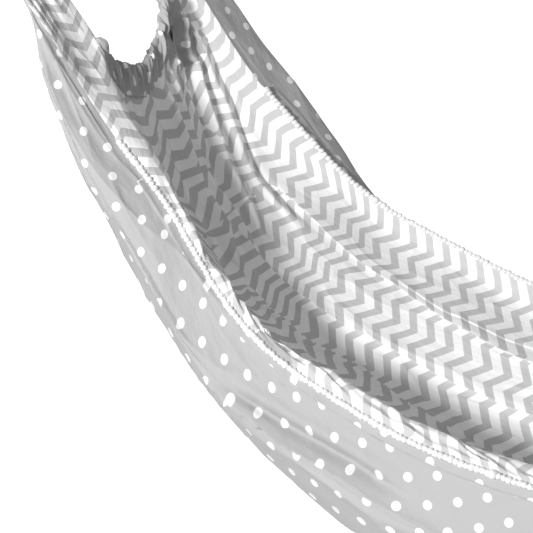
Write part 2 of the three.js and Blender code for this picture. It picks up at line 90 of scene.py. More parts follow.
HUMP_OUT = [[0, 0.75], [18, 0.75], [24, 0.8], [28.8, 0.85], [30.9, 0.9], [42, 0.9]]
SEC_IN = [[0, 0], [0.18, 0], [0.255, 0.002], [0.32, 0.013], [0.43, 0.053], [0.54, 0.12], [0.7, 0.307], [0.86, 0.667], [1, 1]]
SEC_DOWN = [[0, 0], [0.09, 0.135], [0.18, 0.27], [0.255, 0.392], [0.32, 0.486], [0.43, 0.676], [0.54, 0.838], [0.7, 0.946], [0.86, 0.986], [1, 1]]
SEC_OUT = [[0, 0], [0.09, 0.32], [0.18, 0.68], [0.255, 1], [0.32, 1.02], [0.43, 0.83], [0.54, 0.5], [0.7, 0.15], [0.86, 0], [1, 0]]
SEC_FLARE = [[0, 0], [0.05, 0.32], [0.1, 0.6], [0.18, 0.88], [0.255, 1], [0.32, 0.97], [0.43, 0.78], [0.54, 0.5], [0.7, 0.15], [0.86, 0], [1, 0]]
BULGE_NEAR = [[0, 1.9], [12, 1.6], [18, 1.8], [24, 2.1], [28, 1.5], [30.9, 0.9], [34, 0.25], [42, 0]]
BULGE_FAR = [[0, 1.9], [12, 1.6], [16, 1.8], [20, 2.3], [24, 2.7], [28, 2.6], [31, 2.2], [34, 1.6], [37, 0.8], [42, 0]]
# where the long folds of the lining run across its width (1 far rim, -1 near rim)
FOLD_A = [[0, 0.42], [4.4, 0.44], [9.2, 0.46], [12.2, 0.52], [16.2, 0.55], [19.2, 0.61], [24, 0.66], [30, 0.7]]
FOLD_B = [[0, 0.12], [6.1, 0.11], [10, 0.09], [13.6, 0.03], [15.5, 0.0], [20, -0.04], [30, -0.1]]
FOLD_C = [[0, -0.16], [6, -0.17], [9.7, -0.14], [11.2, -0.1], [13.4, -0.16], [15.4, -0.2], [20, -0.24], [30, -0.3]]

# inner edge of the roll along the near rim, and how high the roll stands
ROLL_EDGE = [[0, -0.84], [6, -0.86], [10, -0.885], [14, -0.92], [17, -0.94], [20, -0.92], [22, -0.86], [24, -0.76], [28, -0.64], [30.9, -0.54], [42, -0.52]]
ROLL_UP = [[0, 0.3], [6, 0.58], [12, 0.6], [16, 0.48], [20, 0.38], [24, 0.36], [28, 0.25], [30.9, 0.05], [42, 0]]


def even(tab, s, odd=False):
    t = np.array(tab)
    q = np.clip(np.asarray(s, float) / 2, 0, len(t) - 1.001)
    i = np.floor(q).astype(int)
    f = q - i
    def p(k):
        v = t[np.clip(np.abs(k), 0, len(t) - 1)]
        return np.where(k < 0, -v if odd else v, v)
    a, b, c, d = p(i - 1), p(i), p(i + 1), p(i + 2)
    return b + 0.5 * f * (c - a + f * (2 * a - 5 * b + 4 * c - d + f * (3 * (b - c) + d - a)))


def knots(tab, x):
    X = np.array([r[0] for r in tab], float)
    Y = np.array([r[1] for r in tab], float)
    n = len(X)
    x = np.asarray(x, float)
    i = np.clip(np.searchsorted(X, x, side="left") - 1, 0, n - 2)
    g = lambda k: np.clip(k, 0, n - 1)
    m0 = (Y[g(i + 1)] - Y[g(i - 1)]) / (X[g(i + 1)] - X[g(i - 1)])
    m1 = (Y[g(i + 2)] - Y[i]) / (X[g(i + 2)] - X[i])
    h = X[i + 1] - X[i]
    k = np.clip((x - X[i]) / h, 0, 1)
    return (2 * k**3 - 3 * k * k + 1) * Y[i] + (k**3 - 2 * k * k + k) * h * m0 + (3 * k * k - 2 * k**3) * Y[i + 1] + (k**3 - k * k) * h * m1


def lin(tab, x):
    return np.interp(x, [r[0] for r in tab], [r[1] for r in tab])


def smooth(a, b, x):
    k = np.clip((np.asarray(x, float) - a) / (b - a), 0, 1)
    return k * k * (3 - 2 * k)


def rim(s):
    a = np.abs(s)
    e = 0.25
    dx = even(RIM_X, a + e) - even(RIM_X, np.maximum(0, a - e))
    dz = even(RIM_Z, a + e) - even(RIM_Z, np.maximum(0, a - e))
    return even(RIM_X, a, True), even(RIM_W, a), even(RIM_Z, a), np.where(a < 0.3, 0, np.arctan2(dz, dx))


def noise(x, y, seed):
    """Smooth value noise, -1 to 1, on a lattice of step 1."""
    rng = np.random.RandomState(seed)
    g = rng.uniform(-1, 1, (128, 128))
    x, y = np.broadcast_arrays(np.asarray(x, float), np.asarray(y, float))
    ix, iy = np.floor(x).astype(int), np.floor(y).astype(int)
    fx, fy = x - ix, y - iy
    def w(f):
        return [((-f + 2) * f - 1) * f / 2, ((3 * f - 5) * f * f + 2) / 2, ((-3 * f + 4) * f + 1) * f / 2, (f - 1) * f * f / 2]
    wx, wy = w(fx), w(fy)
    out = np.zeros(x.shape)
    for a in range(4):
        for b in range(4):
            out += wx[a] * wy[b] * g[(ix + a - 1) % 128, (iy + b - 1) % 128]
    return out


def creased(n):
    """Turns smooth noise into soft folds with narrow valleys."""
    return 1 - 2 * np.sqrt(np.abs(n) + 0.02)


def place(a, r, d, y, s):
    x = -(r[0] + np.sin(r[3]) * d)
    return np.stack([np.where(s < 0, x, -x), y + 0 * x, r[2] - np.cos(r[3]) * d], -1)


def outer_pt(s, v):
    a = np.abs(s)
    r = rim(a)
    t = 1 - np.abs(v)
    far = v > 0
    yn = 1 - knots(SEC_IN, t)
    lobe = knots(LOBE, a)
    hump = 1 - smooth(knots(HUMP_IN, a), knots(HUMP_OUT, a), yn)
    down = knots(SEC_DOWN, t)
    up = np.where(far, smooth(14, 20, a), 0.35 * smooth(20, 28, a))
    down = down * (1 - 0.85 * up * (1 - smooth(0.08, 0.24, t)))
    d = U * np.maximum(0, lobe * down - (lobe - knots(MIDL, a)) * hump)
    fl = np.where(far, smooth(13, 19, a), smooth(11, 24, a))
    sharp = knots(SEC_FLARE, t) + np.where(far, smooth(14, 20, a) * 0.16 * np.exp(-((t - 0.11) / 0.06) ** 2), 0)
    q = (1 - fl) * knots(SEC_OUT, t) + fl * sharp
    bulge = np.where(far, knots(BULGE_FAR, a), knots(BULGE_NEAR, a))
    return place(a, r, d, np.sign(v) * (yn * r[1] + U * bulge * q), s)


def lining_depth(s, yn):
    a = np.abs(s)
    lobe = knots(LOBE_L, a)
    fa, fb, fc = lin(FOLD_A, a), lin(FOLD_B, a), lin(FOLD_C, a)
    up = lin(ROLL_UP, a)
    edge = lin(ROLL_EDGE, a)
    z = 0 * a
    yy = yn + z
    def profile(xs, ds):
        d = np.zeros(np.broadcast(a, yn).shape)
        for k in range(len(xs) - 1):
            f = np.clip((yy - xs[k]) / (xs[k + 1] - xs[k]), 0, 1)
            d = np.where(yy >= xs[k], ds[k] + (ds[k + 1] - ds[k]) * f, d)
        return d
    d = profile([z - 1, z - 0.965, z - 0.9, edge + 0.02, edge + 0.1, edge + 0.18, z - 0.45, fc, fb, fa, z + 0.87, z + 0.93, z + 0.972, z + 1],
                [z, -0.75 * up, -up, -0.55 * up, 0.25 * lobe, 0.5 * lobe, 0.82 * lobe, lobe, 0.74 * lobe, 0.41 * lobe, 0.31 * lobe, 0.27 * lobe, 0.2 * lobe, z])
    # towards the ends the floor rises to the scooped edge
    ay = np.abs(yy)
    hump = 1 - smooth(knots(HUMP_IN, a), knots(HUMP_OUT, a), ay)
    side = np.sqrt(np.maximum(0, 1 - ay**5))
    mid = knots(MIDL_L, a)
    e = (mid * hump + lobe * 0.95 * (1 - hump)) * side
    q = np.clip((yy + 1) / (edge + 1), 0, 1)
    roll = -up * np.sin(np.pi * q) ** 0.6 + 0.22 * smooth(26, 31, a) * np.sin(np.pi * q)
    e = np.where(yy < 0, roll + (e - roll) * smooth(edge - 0.01, edge + 0.13, yy), e)
    k = smooth(16.5, 23, a)
    return U * ((1 - k) * d + k * e)


def lining_pt(s, yn):
    r = rim(np.abs(s))
    return place(np.abs(s), r, lining_depth(s, yn), yn * r[1], s)


def lining_normal(s, yn):
    ds = lining_pt(s + 0.05, yn) - lining_pt(s - 0.05, yn)
    dy = lining_pt(s, yn + 0.004) - lining_pt(s, yn - 0.004)
    n = np.cross(ds, dy)
    n = n / np.linalg.norm(n, axis=-1, keepdims=True)
    return n * np.where(n[..., 2:] < 0, -1.0, 1.0)


def normals(p):
    du = np.gradient(p, axis=0)
    dv = np.gradient(p, axis=1)
    n = np.cross(du, dv)
    return n / (np.linalg.norm(n, axis=-1, keepdims=True) + 1e-9)


def blur(a, k, axis):
    """Binomial smoothing, k passes, ends held."""
    a = np.moveaxis(a, axis, 0).copy()
    for _ in range(k):
        a[1:-1] = 0.25 * a[:-2] + 0.5 * a[1:-1] + 0.25 * a[2:]
    return np.moveaxis(a, 0, axis)


def arc(p, axis):
    d = np.linalg.norm(np.diff(p, axis=axis), axis=-1)
    z = np.zeros_like(np.take(d, [0], axis=axis))
    return np.concatenate([z, np.cumsum(d, axis=axis)], axis=axis)


# ------------------------------------------------------------------ mesh helpers
def to_world(p):
    q = np.array(p, float).reshape(-1, 3) / 1000
    q[:, 2] += Z0 / 1000
    return q


def mesh_from(name, verts, faces, uv=None, mats=(), mat_index=None, smooth_shade=True):
    """verts n x 3 in metres, faces m x 4 (or m x 3), uv per vertex or per face corner."""
    me = bpy.data.meshes.new(name)
    faces = np.asarray(faces, np.int32)
    n, k = faces.shape
    me.vertices.add(len(verts))
    me.vertices.foreach_set("co", np.asarray(verts, np.float32).ravel())
    me.loops.add(n * k)
    me.loops.foreach_set("vertex_index", faces.ravel())
    me.polygons.add(n)
    me.polygons.foreach_set("loop_start", np.arange(0, n * k, k, dtype=np.int32))
    if mat_index is not None:
        me.polygons.foreach_set("material_index", np.asarray(mat_index, np.int32))
    me.update(calc_edges=True)
    me.polygons.foreach_set("use_smooth", np.full(n, smooth_shade))
    if uv is not None:
        layer = me.uv_layers.new(name="cloth")
        uv = np.asarray(uv, np.float32)
        if len(uv) == len(verts) and len(uv) != n * k:
            uv = uv[faces.ravel()]
        layer.data.foreach_set("uv", uv.ravel())
    for m in mats:
        me.materials.append(m)
    me.validate()
    ob = bpy.data.objects.new(name, me)
    bpy.context.scene.collection.objects.link(ob)
    return ob


def grid_faces(n, m, wrap=False):
    i = np.arange(n - 1)[:, None]
    j = np.arange(m if wrap else m - 1)[None, :]
    j1 = (j + 1) % m
    return np.stack([i * m + j, (i + 1) * m + j, (i + 1) * m + j1, i * m + j1], -1).reshape(-1, 4)


def area_of(p):
    a = p[1:, :-1] - p[:-1, :-1]
    b = p[:-1, 1:] - p[:-1, :-1]
    return float(np.linalg.norm(np.cross(a, b), axis=-1).sum()) / 1e6


def sheet_object(name, p, uv, mats, mat_index=None, flip=False, thick=0.0008, keep=None):
    n, m = p.shape[:2]
    f = grid_faces(n, m)
    if flip:
        f = f[:, ::-1]
    if keep is not None:
        f = f[keep.ravel()]
        if mat_index is not None:
            mat_index = mat_index.ravel()[keep.ravel()]
    elif mat_index is not None:
        mat_index = mat_index.ravel()
    if uv.ndim == 4:
        uv = uv.reshape(-1, 4, 2)
        if flip:
            uv = uv[:, ::-1]
        if keep is not None:
            uv = uv[keep.ravel()]
    ob = mesh_from(name, to_world(p), f, uv.reshape(-1, 2), mats, mat_index)
    if keep is not None:
        used = np.zeros(n * m, bool)
        used[f.ravel()] = True
        import bmesh
        bm = bmesh.new()
        bm.from_mesh(ob.data)
        bm.verts.ensure_lookup_table()
        bmesh.ops.delete(bm, geom=[bm.verts[i] for i in np.where(~used)[0]], context="VERTS")
        bm.to_mesh(ob.data)
        bm.free()
    ed = np.zeros(len(ob.data.edges) * 2, np.int32)
    ob.data.edges.foreach_get("vertices", ed)
    le = np.zeros(len(ob.data.loops), np.int32)
    ob.data.loops.foreach_get("edge_index", le)
    border = np.bincount(le, minlength=len(ob.data.edges)) < 2
    sharp = ob.data.attributes.new("sharp_edge", "BOOLEAN", "EDGE")
    sharp.data.foreach_set("value", border)
    if thick:
        mod = ob.modifiers.new("thickness", "SOLIDIFY")
        mod.thickness = thick
        mod.offset = 0
        mod.use_even_offset = False
    return ob


# ------------------------------------------------------------------ materials
def principled(name, color, rough, **kw):
    m = bpy.data.materials.new(name)
    m.use_nodes = True
    b = m.node_tree.nodes["Principled BSDF"]
    b.inputs["Base Color"].default_value = (*color, 1)
    b.inputs["Roughness"].default_value = rough
    for k, v in kw.items():
        b.inputs[k].default_value = v
    return m, m.node_tree, b


class Nodes:
    def __init__(self, tree):
        self.t = tree

    def new(self, kind, **kw):
        n = self.t.nodes.new(kind)
        for k, v in kw.items():
            setattr(n, k, v)
        return n

    def link(self, a, b):
        self.t.links.new(a, b)

    def math(self, op, a, b=None, c=None, clamp=False):
        n = self.new("ShaderNodeMath", operation=op, use_clamp=clamp)
        for i, x in enumerate((a, b, c)):
            if x is None:
                continue
            if isinstance(x, (int, float)):
                n.inputs[i].default_value = x
            else:
                self.link(x, n.inputs[i])
        return n.outputs[0]

    def noise(self, vec, scale, detail=2, rough=0.5, dims="3D"):
        n = self.new("ShaderNodeTexNoise", noise_dimensions=dims)
        n.inputs["Scale"].default_value = scale
        n.inputs["Detail"].default_value = detail
        n.inputs["Roughness"].default_value = rough
        if vec is not None:
            self.link(vec, n.inputs["Vector"])
        return n.outputs[0]

    def mapping(self, vec, scale):
        n = self.new("ShaderNodeMapping")
        n.inputs["Scale"].default_value = scale
        self.link(vec, n.inputs["Vector"])
        return n.outputs[0]

    def range(self, x, a, b, c=0.0, d=1.0, smoothstep=True):
        n = self.new("ShaderNodeMapRange", interpolation_type="SMOOTHSTEP" if smoothstep else "LINEAR")
        self.link(x, n.inputs[0])
        for i, v in enumerate((a, b, c, d)):
            n.inputs[i + 1].default_value = v
        return n.outputs[0]

    def mix(self, f, a, b):
        n = self.new("ShaderNodeMix", data_type="RGBA")
        self.link(f, n.inputs[0]) if not isinstance(f, (int, float)) else setattr(n.inputs[0], "default_value", f)
        for i, x in ((6, a), (7, b)):
            if isinstance(x, tuple):
                n.inputs[i].default_value = (*x, 1) if len(x) == 3 else x
            else:
                self.link(x, n.inputs[i])
        return n.outputs[2]

    def bump(self, height, strength, distance, normal=None):
        n = self.new("ShaderNodeBump")
        n.inputs["Strength"].default_value = strength
        n.inputs["Distance"].default_value = distance
        self.link(height, n.inputs["Height"])
        if normal is not None:
            self.link(normal, n.inputs["Normal"])
        return n.outputs[0]


def cotton(name, pattern):
    """Printed plain-weave cotton. UVs are in zigzag repeats (25.4 mm)."""
    m, tree, b = principled(name, (0.8, 0.8, 0.8), 0.88)
    b.inputs["Sheen Weight"].default_value = 0.18
    b.inputs["Sheen Roughness"].default_value = 0.55
    b.inputs["Specular IOR Level"].default_value = 0.25
    N = Nodes(tree)
    uv = N.new("ShaderNodeUVMap", uv_map="cloth").outputs[0]
    obj = N.new("ShaderNodeTexCoord").outputs["Object"]
    sep = N.new("ShaderNodeSeparateXYZ")
    N.link(uv, sep.inputs[0])
    u, v = sep.outputs[0], sep.outputs[1]
    # the print wavers a little with the weave
    edge = N.noise(N.mapping(uv, (1, 1, 1)), 26, 1)
    if pattern == "dots":
        grey, white = (0.44, 0.44, 0.443), (0.92, 0.92, 0.92)
        def dist(ox, oy):
            x = N.math("MULTIPLY", N.math("SUBTRACT", N.math("FRACT", N.math("ADD", N.math("DIVIDE", u, 2.46), ox)), 0.5), 2.46)
            y = N.math("MULTIPLY", N.math("SUBTRACT", N.math("FRACT", N.math("ADD", N.math("DIVIDE", v, 1.42), oy)), 0.5), 1.42)
            return N.math("SQRT", N.math("ADD", N.math("MULTIPLY", x, x), N.math("MULTIPLY", y, y)))
        d = N.math("MINIMUM", dist(0, 0), dist(0.5, 0.5))
        d = N.math("ADD", d, N.math("MULTIPLY", N.math("SUBTRACT", edge, 0.5), 0.03))
        mask = N.range(d, 0.2, 0.225, 1.0, 0.0)
    else:
        grey, white = (0.57, 0.57, 0.572), (0.94, 0.94, 0.94)
        tri = N.math("ABSOLUTE", N.math("SUBTRACT", N.math("MULTIPLY", N.math("FRACT", N.math("DIVIDE", v, 1.92)), 2), 1))
        x = N.math("FRACT", N.math("ADD", u, N.math("MULTIPLY", tri, 0.625)))
        x = N.math("ADD", x, N.math("MULTIPLY", N.math("SUBTRACT", edge, 0.5), 0.03))
        up = N.range(x, 0.02, 0.045)
        dn = N.range(x, 0.475, 0.5)
        mask = N.math("SUBTRACT", 1.0, N.math("SUBTRACT", up, dn))
    soft = N.noise(obj, 7, 3)
    tone = N.range(soft, 0.3, 0.7, 0.0, 1.0)
    base = N.mix(mask, grey, white)
    base = N.mix(N.math("MULTIPLY", tone, 0.07), base, (0.72, 0.71, 0.69))
    # threads
    warp = N.new("ShaderNodeTexWave", wave_type="BANDS", bands_direction="X")
    weft = N.new("ShaderNodeTexWave", wave_type="BANDS", bands_direction="Y")
    for w in (warp, weft):
        w.inputs["Scale"].default_value = 13
        w.inputs["Distortion"].default_value = 0.6
        w.inputs["Detail"].default_value = 1
        N.link(uv, w.inputs["Vector"])
    weave = N.math("ADD", warp.outputs["Fac"], weft.outputs["Fac"])
    base = N.mix(N.range(weave, 0.2, 1.9, 0.03, 0.0, False), base, (0.3, 0.3, 0.3))
    N.link(base, b.inputs["Base Color"])
    # creases of several sizes
    big = N.noise(N.mapping(uv, (0.55, 1.1, 1)), 1.0, 2)
    mid = N.noise(N.mapping(uv, (1.3, 2.4, 1)), 1.0, 3, 0.6)
    fine = N.noise(uv, 7.0, 3, 0.6)
    n1 = N.bump(big, 0.35, 0.006)
    n2 = N.bump(mid, 0.4, 0.0028, n1)
    n3 = N.bump(fine, 0.3, 0.0004, n2)
    n4 = N.bump(weave, 0.2, 0.00004, n3)
    N.link(n4, b.inputs["Normal"])
    return m


def white_yarn():
    m, tree, b = principled("bobble_yarn", (0.88, 0.88, 0.87), 0.95)
    b.inputs["Sheen Weight"].default_value = 0.5
    b.inputs["Sheen Roughness"].default_value = 0.6
    b.inputs["Subsurface Weight"].default_value = 0.15
    b.inputs["Subsurface Radius"].default_value = (0.002, 0.002, 0.002)
    N = Nodes(tree)
    obj = N.new("ShaderNodeTexCoord").outputs["Object"]
    f = N.noise(obj, 900, 3, 0.7)
    N.link(N.mix(N.range(f, 0.3, 0.7, 0.0, 0.35), (0.9, 0.9, 0.89), (0.72, 0.72, 0.71)), b.inputs["Base Color"])
    N.link(N.bump(f, 0.8, 0.0008), b.inputs["Normal"])
    return m


def elastic_tape():
    m, tree, b = principled("woven_elastic", (0.86, 0.85, 0.83), 0.8)
    N = Nodes(tree)
    obj = N.new("ShaderNodeTexCoord").outputs["Object"]
    w = N.new("ShaderNodeTexWave", wave_type="BANDS", bands_direction="Y")
    w.inputs["Scale"].default_value = 220
    w.inputs["Distortion"].default_value = 1
    N.link(obj, w.inputs["Vector"])
    N.link(N.mix(w.outputs["Fac"], (0.86, 0.85, 0.83), (0.7, 0.69, 0.67)), b.inputs["Base Color"])
    N.link(N.bump(w.outputs["Fac"], 0.6, 0.0004), b.inputs["Normal"])
    return m


def beech():
    m, tree, b = principled("beech_wood", (0.6, 0.42, 0.25), 0.42)
    b.inputs["Coat Weight"].default_value = 0.08
    b.inputs["Coat Roughness"].default_value = 0.3
    N = Nodes(tree)
    obj = N.new("ShaderNodeTexCoord").outputs["Object"]
    long = N.mapping(obj, (9, 0.7, 9))
    ring = N.noise(long, 14, 4, 0.6)
    fleck = N.new("ShaderNodeTexVoronoi", feature="F1")
    fleck.inputs["Scale"].default_value = 60
    N.link(N.mapping(obj, (6, 0.8, 6)), fleck.inputs["Vector"])
    col = N.mix(N.range(ring, 0.35, 0.68), (0.66, 0.47, 0.28), (0.50, 0.32, 0.17))
    col = N.mix(N.range(fleck.outputs["Distance"], 0.05, 0.22, 0.5, 0.0), col, (0.36, 0.21, 0.11))
    N.link(col, b.inputs["Base Color"])
    N.link(N.range(ring, 0.3, 0.7, 0.36, 0.5), b.inputs["Roughness"])
    N.link(N.bump(ring, 0.25, 0.0005), b.inputs["Normal"])
    return m


def metal(name, color, rough, scratch):
    m, tree, b = principled(name, color, rough, Metallic=1.0)
    N = Nodes(tree)
    obj = N.new("ShaderNodeTexCoord").outputs["Object"]
    f = N.noise(N.mapping(obj, (1, 1, 6)), 260, 3, 0.6)
    cloud = N.noise(obj, 35, 3)
    N.link(N.range(cloud, 0.3, 0.7, rough - 0.05, rough + scratch), b.inputs["Roughness"])
    N.link(N.mix(N.range(cloud, 0.3, 0.75, 0.0, 0.35), color, tuple(c * 0.8 for c in color)), b.inputs["Base Color"])
    N.link(N.bump(f, 0.12, 0.0002), b.inputs["Normal"])
    return m


DOTS = cotton("dotted_cotton_cloth", "dots")
ZIG = cotton("zigzag_cotton_cloth", "zigzag")
YARN = white_yarn()
ELASTIC = elastic_tape()
BEECH = beech()
ZINC = metal("zinc_plate", (0.62, 0.63, 0.66), 0.36, 0.12)
STEEL = metal("polished_steel_wire", (0.74, 0.75, 0.77), 0.17, 0.1)

# ------------------------------------------------------------------ outer cloth
def edge_top(yn):
    return S_EDGE + 2.1 * (np.minimum(np.abs(yn), 0.52) / 0.52) ** 2


def end_s(yn):
    """How far a line of cloth at this place across the width runs before the casing or the leg."""
    ay = np.abs(yn)
    return np.where(ay >= 0.52, S_LEG, edge_top(ay) - 1.25)


NU = 600
v_side = np.concatenate([np.linspace(0, 0.05, 22)[:-1], np.linspace(0.05, 0.255, 46)])
v_line = np.concatenate([-1 + v_side[:-1], np.linspace(-0.745, 0.745, 130), 1 - v_side[::-1][1:]])
NV = len(v_line)


def warp_s(u, yn):
    """u from -1 to 1 along the cloth: plain up to |s| = 22, then stretched to end at end_s."""
    q = u * S_LEG
    a = np.abs(q)
    e = end_s(yn)
    return np.sign(q) * np.where(a < 22, a, 22 + (a - 22) * (e - 22) / (S_LEG - 22))


u_line = np.linspace(-1, 1, NU)
V2 = v_line[None, :]
YN_OUT = (1 - knots(SEC_IN, 1 - np.abs(V2))) * np.sign(V2)
S_OUT = warp_s(u_line[:, None], YN_OUT)
V_OUT = V2 + 0 * S_OUT
P_OUT = outer_pt(S_OUT, V_OUT)
ARC_OUT = arc(P_OUT, 1) / U
ARC_OUT = ARC_OUT - ARC_OUT[:, [NV // 2]]


CREASE = [[0, 0.245], [4, 0.236], [8, 0.23], [10, 0.245], [12, 0.264], [13.3, 0.28], [14.5, 0.3], [20, 0.34]]


def outer_folds(s, v):
    a = np.abs(s)
    t = 1 - np.abs(v)
    w = v * 9.5
    end = smooth(17, 28, a)
    f = 0.15 * noise(s * 0.13 + 3, w * 0.6, 3)
    f = f + 0.13 * creased(noise(s * 0.11, w * 0.8 + 0.05 * s, 4)) * (1 - 0.4 * end)
    f = f + 0.05 * creased(noise(s * 0.3 + 0.5 * w, w * 1.3 - 0.16 * s, 10)) * smooth(-0.1, 0.35, noise(s * 0.2, w * 0.4, 15))
    f = f + 0.035 * noise(s * 0.5, w * 1.7, 5) + 0.02 * creased(noise(s * 0.45 + 7, w * 1.4 - 0.2 * s, 9))
    f = f + end * 0.16 * noise(s * 0.14, v * 12, 6) + end * 0.08 * creased(noise(s * 0.18, v * 16, 8))
    f = f + 0.10 * np.exp(-((t - 0.255) / 0.011) ** 2) * smooth(29, 22, a) * smooth(14, 17, a) - 0.05 * smooth(0.19, 0.245, t) * smooth(0.3, 0.26, t)
    x = t - lin(CREASE, a)
    near = np.where(v < 0, 1.0, 0.5) * smooth(17, 14, a)
    f = f + near * (0.42 * np.exp(np.minimum(x, 0) / 0.022) * (x < 0) + (0.42 * np.exp(-np.maximum(x, 0) / 0.0025) - 0.16 * np.exp(-np.maximum(x, 0) / 0.03) * (1 - np.exp(-np.maximum(x, 0) / 0.0025))) * (x >= 0))
    f = f - near * 0.46 * np.exp(-((x + 0.062) / 0.022) ** 2) * smooth(15, 12.5, a) * smooth(4.5, 7, a)
    f = f + near * 0.2 * np.exp(-((x + 0.105) / 0.03) ** 2) * smooth(15, 12.5, a) * smooth(4.5, 7, a)
    f = f * smooth(0.0, 0.05, t)
    # the turned hem under the trim
    hem = smooth(0.0, 0.012, t) * smooth(0.044, 0.036, t + 0.004 * noise(s * 0.8, 3.0, 11)) * smooth(26, 21, a)
    return U * (f + 0.055 * hem + 0.03 * hem * noise(s * 1.4, t * 30, 12))


def behind(s, v):
    """The outer cloth hangs clear of the end panels' folds."""
    a = np.abs(s)
    return U * 0.5 * smooth(17, 22, a) * smooth(28.0, 26.0, a) * smooth(0.6, 0.4, np.abs(v))


n_out = normals(P_OUT)
centre = np.array([0, 0, 150.0])
flip_out = (n_out * (P_OUT - centre)).sum(-1).mean() < 0
if flip_out:
    n_out = -n_out
P_OUT = P_OUT + n_out * (outer_folds(S_OUT, V_OUT) + behind(S_OUT, V_OUT))[..., None]
HEM_T = (1 - np.abs(V_OUT) < 0.04) & (np.abs(S_OUT) < 24)
UV_OUT = np.stack([S_OUT + 0.35 + 0.5 * HEM_T, ARC_OUT + 0.45 * HEM_T], -1)

mid_u = (u_line[1:] + u_line[:-1]) / 2 * S_LEG
mid_v = (v_line[1:] + v_line[:-1]) / 2
MU, MV = np.meshgrid(mid_u, mid_v, indexing="ij")
panels = {
    "outer_side_near_cloth": (MV < -0.745, "outer_side_panel_near"),
    "outer_side_far_cloth": (MV > 0.745, "outer_side_panel_far"),
    "outer_bottom_cloth": ((np.abs(MV) < 0.745) & (np.abs(MU) < 20), "outer_bottom_panel"),
    "outer_head_cloth": ((np.abs(MV) < 0.745) & (MU < -20), "outer_head_panel"),
    "outer_foot_cloth": ((np.abs(MV) < 0.745) & (MU > 20), "outer_foot_panel"),
}


def put_sheet(name, node, mask, p, uv, mats, index, flip):
    ob = sheet_object(name, p, uv, mats, index, flip, keep=mask)
    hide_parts(node)
    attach(ob, "sling")
    return ob


for name, (mask, node) in panels.items():
    ob = put_sheet(name, node, mask, P_OUT, UV_OUT, [DOTS], None, flip_out)

# ------------------------------------------------------------------ lining
yn_line = np.concatenate([np.linspace(-1, -0.74, 90)[:-1], np.linspace(-0.74, 0.86, 300)[:-1], np.linspace(0.86, 1, 34)])
NY = len(yn_line)
Y2 = yn_line[None, :]
S_LIN = warp_s(u_line[:, None], Y2)
Y_LIN = Y2 + 0 * S_LIN
P_LIN = lining_pt(S_LIN, Y_LIN)
P_LIN = blur(P_LIN, 10, 1)
PLAIN_LIN = P_LIN.copy()
ARC_LIN = arc(P_LIN, 1) / U
ARC_LIN = ARC_LIN[:, [-1]] - ARC_LIN          # from the far rim


def pleat(x, wide, sharp, h, valley):
    """A fold that bulges on its far side and drops off sharply on its near side."""
    up = np.where(x >= 0, np.exp(-np.maximum(x, 0) / wide), np.exp(np.minimum(x, 0) / sharp))
    return h * up - valley * np.where(x < 0, np.exp(np.minimum(x, 0) / (wide * 0.5)) * (1 - np.exp(np.minimum(x, 0) / sharp)), 0)


# lengthwise folds of the end panels: line over |s|, widths, height, where they start and stop
END_FOLDS = [
    ([[17, -0.36], [18.2, -0.27], [19.5, -0.2], [21.7, -0.17], [23.5, -0.05], [24.9, 0.06], [26.9, 0.1], [31, 0.12]], 0.045, 0.05, -0.30, 17.5, 29),
    ([[17, -0.28], [18.2, -0.18], [19.5, -0.09], [21.7, -0.04], [23.5, 0.07], [24.9, 0.17], [26.9, 0.25], [31, 0.28]], 0.05, 0.035, 0.62, 17.5, 29),
    ([[17, -0.13], [18.4, -0.02], [19.6, 0.05], [21.9, 0.13], [23.7, 0.26], [25.6, 0.38], [27, 0.44], [31, 0.48]], 0.04, 0.05, 0.36, 18, 31),
    ([[17, -0.05], [18.4, 0.05], [19.6, 0.15], [21.9, 0.29], [23.7, 0.44], [25.6, 0.58], [27, 0.63], [31, 0.66]], 0.035, 0.04, -0.42, 18.5, 31),
    ([[17, 0.06], [18.4, 0.14], [19.6, 0.25], [21.6, 0.40], [23.6, 0.53], [25.6, 0.66], [27, 0.72], [31, 0.75]], 0.04, 0.05, 0.40, 19, 35),
    ([[15, 0.36], [17, 0.4], [20.4, 0.5], [22.8, 0.68], [25.1, 0.80], [27, 0.84], [31, 0.86]], 0.03, 0.05, 0.26, 18.5, 35),
    ([[15, 0.47], [17, 0.5], [20.4, 0.6], [22.8, 0.77], [25.1, 0.88], [27, 0.91], [31, 0.92]], 0.03, 0.035, -0.2, 18.5, 35),
    ([[24, 0.6], [25.4, 0.69], [27.1, 0.80], [29.2, 0.85], [31, 0.87]], 0.025, 0.03, -0.3, 25, 35),
    ([[17, -0.52], [20, -0.46], [22, -0.43], [24.2, -0.42], [26.1, -0.41], [28.2, -0.41], [31, -0.44]], 0.06, 0.025, 0.4, 20.5, 35),
    ([[24, -0.3], [25.0, -0.17], [26.2, -0.03], [27.3, 0.08], [31, 0.1]], 0.03, 0.02, 0.24, 25.5, 29),
    ([[24, -0.36], [27, -0.24], [31, -0.2]], 0.035, 0.03, 0.14, 26, 30),
]


